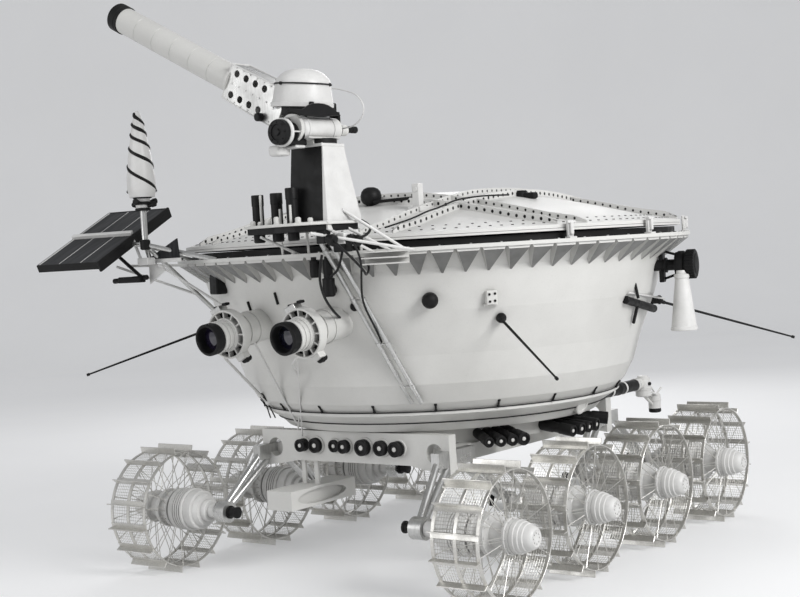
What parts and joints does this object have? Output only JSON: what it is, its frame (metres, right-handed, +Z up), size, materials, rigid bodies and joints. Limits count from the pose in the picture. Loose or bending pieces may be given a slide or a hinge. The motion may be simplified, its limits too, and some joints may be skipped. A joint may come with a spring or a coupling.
{
  "type": "planetary rover",
  "caption": "Robotic planetary rover: a round white tub with a hinged domed lid and a steerable aerial, on wire-mesh wheels with hub motors, and a trailing measuring wheel.",
  "frame": {"origin": "on the floor under the tub's vertical axis, midway between the four axles", "axes": "+X to the front, +Y to the rover's left, +Z up"},
  "size_m": [2.7976, 2.586, 2.2739],
  "materials": {
    "white_enamel": "satin white enamel",
    "lid_white": "satin white enamel",
    "radiator_white": "matte white",
    "hub_white": "satin white enamel",
    "black_enamel": "satin black",
    "dark_fittings": "satin dark grey",
    "bare_metal": "satin",
    "wheel_metal": "satin",
    "solar_cells": "gloss",
    "reflector_dark": "gloss"
  },
  "bodies": {
    "hull": {"aerial_base_plate": "bare_metal", "aerial_post": "white_enamel", "aerial_struts": "bare_metal", "beam_connectors": "dark_fittings", "belly_pan": "white_enamel", "chassis_rails": "white_enamel", "front_beam": "white_enamel", "front_bracket": "bare_metal", "heater": "white_enamel", "landing_ring": "bare_metal", "lid_hinge_ears": "bare_metal", "lid_locks": "bare_metal", "lid_seal": "black_enamel", "motor_drums_left": "white_enamel", "motor_drums_right": "white_enamel", "odometer_bracket": "bare_metal", "panorama_camera_left": "black_enamel", "panorama_camera_right": "black_enamel", "radiator": "radiator_white", "rear_beam": "white_enamel", "reflector_panel": "reflector_dark", "rim_flange": "white_enamel", "soil_spectrometer": "white_enamel", "spiral_aerial": "white_enamel", "star_canisters": "black_enamel", "suspension_arms_left": "bare_metal", "suspension_arms_right": "bare_metal", "tub": "white_enamel", "tv_camera_left": "bare_metal", "tv_camera_right": "bare_metal", "wall_fittings": "black_enamel", "whip_aerials": "dark_fittings"},
    "lid": {"lid_dome": "lid_white", "lid_frame": "lid_white", "solar_panel": "solar_cells"},
    "aerial_turntable": {"aerial_turntable": "white_enamel", "aerial_drive_motor": "black_enamel"},
    "aerial_head": {"aerial_dome": "white_enamel", "aerial_cradle": "black_enamel", "aerial_bracket": "bare_metal", "aerial_tube": "white_enamel", "aerial_tip": "black_enamel"},
    "odometer_arm": {"odometer_arm": "bare_metal"},
    "odometer_wheel": {"odometer_wheel": "wheel_metal"},
    "wheel_left_1": {"wheel_left_1_rim": "wheel_metal", "wheel_left_1_hub": "hub_white"},
    "wheel_left_2": {"wheel_left_2_rim": "wheel_metal", "wheel_left_2_hub": "hub_white"},
    "wheel_left_3": {"wheel_left_3_rim": "wheel_metal", "wheel_left_3_hub": "hub_white"},
    "wheel_left_4": {"wheel_left_4_rim": "wheel_metal", "wheel_left_4_hub": "hub_white"},
    "wheel_right_1": {"wheel_right_1_rim": "wheel_metal", "wheel_right_1_hub": "hub_white"},
    "wheel_right_2": {"wheel_right_2_rim": "wheel_metal", "wheel_right_2_hub": "hub_white"},
    "wheel_right_3": {"wheel_right_3_rim": "wheel_metal", "wheel_right_3_hub": "hub_white"},
    "wheel_right_4": {"wheel_right_4_rim": "wheel_metal", "wheel_right_4_hub": "hub_white"}
  },
  "joints": [
    {"name": "lid_hinge", "type": "hinge", "parent": "hull", "child": "lid", "pos_m": [-1.11, 0, 1.285], "axis": [0, -1, 0], "range_deg": [0, 180]},
    {"name": "aerial_azimuth", "type": "hinge", "parent": "hull", "child": "aerial_turntable", "pos_m": [1.135, 0.36, 1.66], "axis": [0, 0, 1], "range_deg": [-120, 120]},
    {"name": "aerial_elevation", "type": "hinge", "parent": "aerial_turntable", "child": "aerial_head", "pos_m": [1.135, 0.36, 1.698], "axis": [-1, 0, 0], "range_deg": [-10, 60]},
    {"name": "odometer_swing", "type": "hinge", "parent": "hull", "child": "odometer_arm", "pos_m": [-0.68, 0, 0.47], "axis": [0, 1, 0], "range_deg": [0, 40]},
    {"name": "odometer_spin", "type": "hinge", "parent": "odometer_arm", "child": "odometer_wheel", "pos_m": [-1.29, 0, 0.105], "axis": [0, 1, 0], "continuous": true},
    {"name": "wheel_left_1_spin", "type": "hinge", "parent": "hull", "child": "wheel_left_1", "pos_m": [0.8525, 0.8, 0.25549], "axis": [0, 1, 0], "continuous": true},
    {"name": "wheel_left_2_spin", "type": "hinge", "parent": "hull", "child": "wheel_left_2", "pos_m": [0.28417, 0.8, 0.25549], "axis": [0, 1, 0], "continuous": true},
    {"name": "wheel_left_3_spin", "type": "hinge", "parent": "hull", "child": "wheel_left_3", "pos_m": [-0.28417, 0.8, 0.25549], "axis": [0, 1, 0], "continuous": true},
    {"name": "wheel_left_4_spin", "type": "hinge", "parent": "hull", "child": "wheel_left_4", "pos_m": [-0.8525, 0.8, 0.25549], "axis": [0, 1, 0], "continuous": true},
    {"name": "wheel_right_1_spin", "type": "hinge", "parent": "hull", "child": "wheel_right_1", "pos_m": [0.8525, -0.8, 0.25549], "axis": [0, 1, 0], "continuous": true},
    {"name": "wheel_right_2_spin", "type": "hinge", "parent": "hull", "child": "wheel_right_2", "pos_m": [0.28417, -0.8, 0.25549], "axis": [0, 1, 0], "continuous": true},
    {"name": "wheel_right_3_spin", "type": "hinge", "parent": "hull", "child": "wheel_right_3", "pos_m": [-0.28417, -0.8, 0.25549], "axis": [0, 1, 0], "continuous": true},
    {"name": "wheel_right_4_spin", "type": "hinge", "parent": "hull", "child": "wheel_right_4", "pos_m": [-0.8525, -0.8, 0.25549], "axis": [0, 1, 0], "continuous": true}
  ]
}
